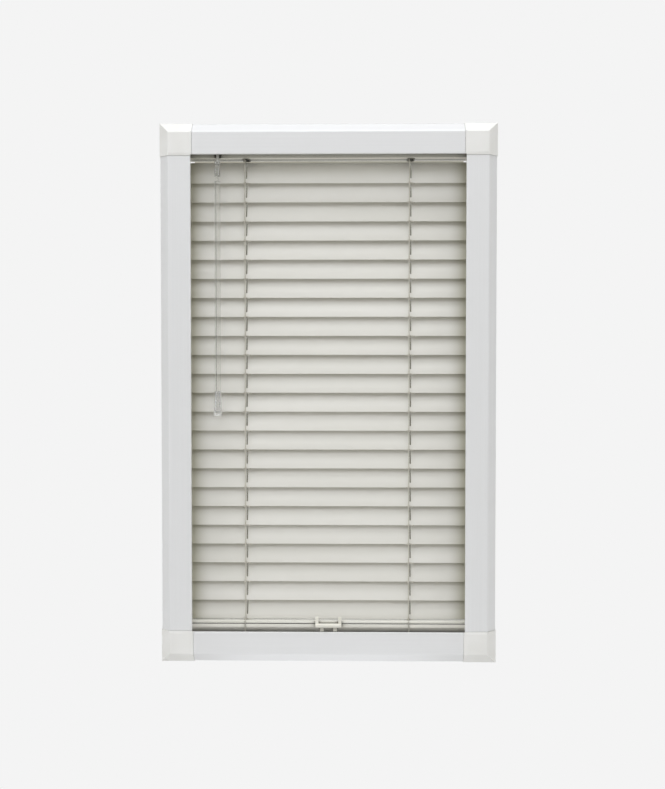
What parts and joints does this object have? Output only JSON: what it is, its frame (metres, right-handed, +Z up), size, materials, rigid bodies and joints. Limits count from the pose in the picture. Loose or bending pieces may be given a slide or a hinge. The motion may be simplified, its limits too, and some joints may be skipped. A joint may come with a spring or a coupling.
{
  "type": "framed venetian blind",
  "caption": "White framed venetian blind with moulded corners, crowned cream metal slats on string ladders, a clear tilt wand and a bottom rail with a finger handle.",
  "frame": {"origin": "centre of the surround's box", "axes": "+Z up along the side rails, +X to the right as seen from the room, +Y from the room towards the window"},
  "size_m": [0.365, 0.04, 0.585],
  "materials": {
    "rail_white": "smooth extruded white PVC",
    "corner_white": "fine moulded warm white",
    "headrail_enamel": "cream stove enamel on folded steel",
    "moulded_white": "moulded white",
    "grommet_grey": "moulded mid grey",
    "housing_grey": "moulded dark grey",
    "rod_steel": "drawn steel bar",
    "stem_plastic": "moulded pale grey",
    "wand_clear": "clear acrylic",
    "slat_cream": "cream coil-coated aluminium strip",
    "cord_cream": "braided polyester",
    "cord_clear": "clear nylon line",
    "bottom_rail_cream": "cream coated",
    "moulded_cream": "moulded cream"
  },
  "bodies": {
    "surround": {"frame_top_rail": "rail_white", "frame_bottom_rail": "rail_white", "frame_left_rail": "rail_white", "frame_right_rail": "rail_white", "corner_top_left": "corner_white", "corner_top_right": "corner_white", "corner_bottom_left": "corner_white", "corner_bottom_right": "corner_white", "headrail": "headrail_enamel", "headrail_bracket_left": "moulded_white", "headrail_bracket_right": "moulded_white", "tilter_housing": "housing_grey", "drum_cradle_left": "housing_grey", "drum_cradle_right": "housing_grey", "ladder_grommets": "grommet_grey", "ladder_leads": "cord_cream", "tension_cord_left": "cord_clear", "tension_cord_right": "cord_clear", "cord_anchors": "moulded_white"},
    "tilt_shaft": {"tilt_rod": "rod_steel", "ladder_drum_left": "moulded_white", "ladder_drum_right": "moulded_white", "tilter_gear": "moulded_white"},
    "worm_stem": {"tilter_stem": "stem_plastic"},
    "wand_link": {"wand_head": "wand_clear"},
    "wand": {"wand_rod": "wand_clear", "wand_grip": "wand_clear"},
    "ladder_front": {"ladder_front_string_left": "cord_cream", "ladder_front_string_right": "cord_cream"},
    "ladder_rear": {"ladder_rear_string_left": "cord_cream", "ladder_rear_string_right": "cord_cream"},
    "lower_rail": {"bottom_rail": "bottom_rail_cream", "bottom_rail_cover": "moulded_cream", "bottom_rail_cap_left": "moulded_cream", "bottom_rail_cap_right": "moulded_cream", "lift_handle": "moulded_cream"},
    "slat_01": {"slat_01": "slat_cream"},
    "slat_02": {"slat_02": "slat_cream"},
    "slat_03": {"slat_03": "slat_cream"},
    "slat_04": {"slat_04": "slat_cream"},
    "slat_05": {"slat_05": "slat_cream"},
    "slat_06": {"slat_06": "slat_cream"},
    "slat_07": {"slat_07": "slat_cream"},
    "slat_08": {"slat_08": "slat_cream"},
    "slat_09": {"slat_09": "slat_cream"},
    "slat_10": {"slat_10": "slat_cream"},
    "slat_11": {"slat_11": "slat_cream"},
    "slat_12": {"slat_12": "slat_cream"},
    "slat_13": {"slat_13": "slat_cream"},
    "slat_14": {"slat_14": "slat_cream"},
    "slat_15": {"slat_15": "slat_cream"},
    "slat_16": {"slat_16": "slat_cream"},
    "slat_17": {"slat_17": "slat_cream"},
    "slat_18": {"slat_18": "slat_cream"},
    "slat_19": {"slat_19": "slat_cream"},
    "slat_20": {"slat_20": "slat_cream"},
    "slat_21": {"slat_21": "slat_cream"},
    "slat_22": {"slat_22": "slat_cream"},
    "slat_23": {"slat_23": "slat_cream"},
    "slat_24": {"slat_24": "slat_cream"}
  },
  "joints": [
    {"name": "tilt", "type": "hinge", "parent": "surround", "child": "tilt_shaft", "pos_m": [0, 0.004, 0.2672], "axis": [-1, 0, 0], "range_deg": [0, 140]},
    {"name": "worm_spin", "type": "hinge", "parent": "surround", "child": "worm_stem", "pos_m": [-0.1195, -0.00189, 0.2706], "axis": [0, -0.5, -0.866], "range_deg": [0, 2520]},
    {"name": "wand_swing", "type": "hinge", "parent": "surround", "child": "wand_link", "pos_m": [-0.1195, -0.014, 0.24962], "axis": [-1, 0, 0], "range_deg": [0, 60]},
    {"name": "wand_spin", "type": "hinge", "parent": "wand_link", "child": "wand", "pos_m": [-0.1195, -0.014, 0.24962], "axis": [0, 0, -1], "range_deg": [0, 2520]},
    {"name": "lift", "type": "slide", "parent": "surround", "child": "lower_rail", "axis": [0, 0, 1], "range_m": [0, 0.016]},
    {"name": "slat_01_turn", "type": "hinge", "parent": "surround", "child": "slat_01", "pos_m": [0, 0.004, 0.24204], "axis": [-1, 0, 0], "range_deg": [0, 140]},
    {"name": "slat_02_turn", "type": "hinge", "parent": "surround", "child": "slat_02", "pos_m": [0, 0.004, 0.22128], "axis": [-1, 0, 0], "range_deg": [0, 140]},
    {"name": "slat_03_turn", "type": "hinge", "parent": "surround", "child": "slat_03", "pos_m": [0, 0.004, 0.20053], "axis": [-1, 0, 0], "range_deg": [0, 140]},
    {"name": "slat_04_turn", "type": "hinge", "parent": "surround", "child": "slat_04", "pos_m": [0, 0.004, 0.17978], "axis": [-1, 0, 0], "range_deg": [0, 140]},
    {"name": "slat_05_turn", "type": "hinge", "parent": "surround", "child": "slat_05", "pos_m": [0, 0.004, 0.15902], "axis": [-1, 0, 0], "range_deg": [0, 140]},
    {"name": "slat_06_turn", "type": "hinge", "parent": "surround", "child": "slat_06", "pos_m": [0, 0.004, 0.13827], "axis": [-1, 0, 0], "range_deg": [0, 140]},
    {"name": "slat_07_turn", "type": "hinge", "parent": "surround", "child": "slat_07", "pos_m": [0, 0.004, 0.11752], "axis": [-1, 0, 0], "range_deg": [0, 140]},
    {"name": "slat_08_turn", "type": "hinge", "parent": "surround", "child": "slat_08", "pos_m": [0, 0.004, 0.09676], "axis": [-1, 0, 0], "range_deg": [0, 140]},
    {"name": "slat_09_turn", "type": "hinge", "parent": "surround", "child": "slat_09", "pos_m": [0, 0.004, 0.07601], "axis": [-1, 0, 0], "range_deg": [0, 140]},
    {"name": "slat_10_turn", "type": "hinge", "parent": "surround", "child": "slat_10", "pos_m": [0, 0.004, 0.05526], "axis": [-1, 0, 0], "range_deg": [0, 140]},
    {"name": "slat_11_turn", "type": "hinge", "parent": "surround", "child": "slat_11", "pos_m": [0, 0.004, 0.03451], "axis": [-1, 0, 0], "range_deg": [0, 140]},
    {"name": "slat_12_turn", "type": "hinge", "parent": "surround", "child": "slat_12", "pos_m": [0, 0.004, 0.01375], "axis": [-1, 0, 0], "range_deg": [0, 140]},
    {"name": "slat_13_turn", "type": "hinge", "parent": "surround", "child": "slat_13", "pos_m": [0, 0.004, -0.007], "axis": [-1, 0, 0], "range_deg": [0, 140]},
    {"name": "slat_14_turn", "type": "hinge", "parent": "surround", "child": "slat_14", "pos_m": [0, 0.004, -0.02775], "axis": [-1, 0, 0], "range_deg": [0, 140]},
    {"name": "slat_15_turn", "type": "hinge", "parent": "surround", "child": "slat_15", "pos_m": [0, 0.004, -0.04851], "axis": [-1, 0, 0], "range_deg": [0, 140]},
    {"name": "slat_16_turn", "type": "hinge", "parent": "surround", "child": "slat_16", "pos_m": [0, 0.004, -0.06926], "axis": [-1, 0, 0], "range_deg": [0, 140]},
    {"name": "slat_17_turn", "type": "hinge", "parent": "surround", "child": "slat_17", "pos_m": [0, 0.004, -0.09001], "axis": [-1, 0, 0], "range_deg": [0, 140]},
    {"name": "slat_18_turn", "type": "hinge", "parent": "surround", "child": "slat_18", "pos_m": [0, 0.004, -0.11077], "axis": [-1, 0, 0], "range_deg": [0, 140]},
    {"name": "slat_19_turn", "type": "hinge", "parent": "surround", "child": "slat_19", "pos_m": [0, 0.004, -0.13152], "axis": [-1, 0, 0], "range_deg": [0, 140]},
    {"name": "slat_20_turn", "type": "hinge", "parent": "surround", "child": "slat_20", "pos_m": [0, 0.004, -0.15227], "axis": [-1, 0, 0], "range_deg": [0, 140]},
    {"name": "slat_21_turn", "type": "hinge", "parent": "surround", "child": "slat_21", "pos_m": [0, 0.004, -0.17303], "axis": [-1, 0, 0], "range_deg": [0, 140]},
    {"name": "slat_22_turn", "type": "hinge", "parent": "surround", "child": "slat_22", "pos_m": [0, 0.004, -0.19378], "axis": [-1, 0, 0], "range_deg": [0, 140]},
    {"name": "slat_23_turn", "type": "hinge", "parent": "surround", "child": "slat_23", "pos_m": [0, 0.004, -0.21453], "axis": [-1, 0, 0], "range_deg": [0, 140]},
    {"name": "slat_24_turn", "type": "hinge", "parent": "lower_rail", "child": "slat_24", "pos_m": [0, 0.004, -0.23527], "axis": [-1, 0, 0], "range_deg": [0, 140]},
    {"name": "ladder_front_travel", "type": "hinge", "parent": "slat_01", "child": "ladder_front", "pos_m": [0, 0.00132, 0.22971], "axis": [1, 0, 0], "range_deg": [0, 140]},
    {"name": "ladder_rear_travel", "type": "hinge", "parent": "slat_01", "child": "ladder_rear", "pos_m": [0, 0.00987, 0.2532], "axis": [1, 0, 0], "range_deg": [0, 140]}
  ],
  "couplings": [
    {"joint": "worm_spin", "follows": "tilt", "ratio": 18},
    {"joint": "wand_spin", "follows": "tilt", "ratio": 18},
    {"joint": "slat_01_turn", "follows": "tilt", "ratio": 1},
    {"joint": "slat_02_turn", "follows": "tilt", "ratio": 1},
    {"joint": "slat_03_turn", "follows": "tilt", "ratio": 1},
    {"joint": "slat_04_turn", "follows": "tilt", "ratio": 1},
    {"joint": "slat_05_turn", "follows": "tilt", "ratio": 1},
    {"joint": "slat_06_turn", "follows": "tilt", "ratio": 1},
    {"joint": "slat_07_turn", "follows": "tilt", "ratio": 1},
    {"joint": "slat_08_turn", "follows": "tilt", "ratio": 1},
    {"joint": "slat_09_turn", "follows": "tilt", "ratio": 1},
    {"joint": "slat_10_turn", "follows": "tilt", "ratio": 1},
    {"joint": "slat_11_turn", "follows": "tilt", "ratio": 1},
    {"joint": "slat_12_turn", "follows": "tilt", "ratio": 1},
    {"joint": "slat_13_turn", "follows": "tilt", "ratio": 1},
    {"joint": "slat_14_turn", "follows": "tilt", "ratio": 1},
    {"joint": "slat_15_turn", "follows": "tilt", "ratio": 1},
    {"joint": "slat_16_turn", "follows": "tilt", "ratio": 1},
    {"joint": "slat_17_turn", "follows": "tilt", "ratio": 1},
    {"joint": "slat_18_turn", "follows": "tilt", "ratio": 1},
    {"joint": "slat_19_turn", "follows": "tilt", "ratio": 1},
    {"joint": "slat_20_turn", "follows": "tilt", "ratio": 1},
    {"joint": "slat_21_turn", "follows": "tilt", "ratio": 1},
    {"joint": "slat_22_turn", "follows": "tilt", "ratio": 1},
    {"joint": "slat_23_turn", "follows": "tilt", "ratio": 1},
    {"joint": "slat_24_turn", "follows": "tilt", "ratio": 1},
    {"joint": "ladder_front_travel", "follows": "tilt", "ratio": 1},
    {"joint": "ladder_rear_travel", "follows": "tilt", "ratio": 1}
  ]
}
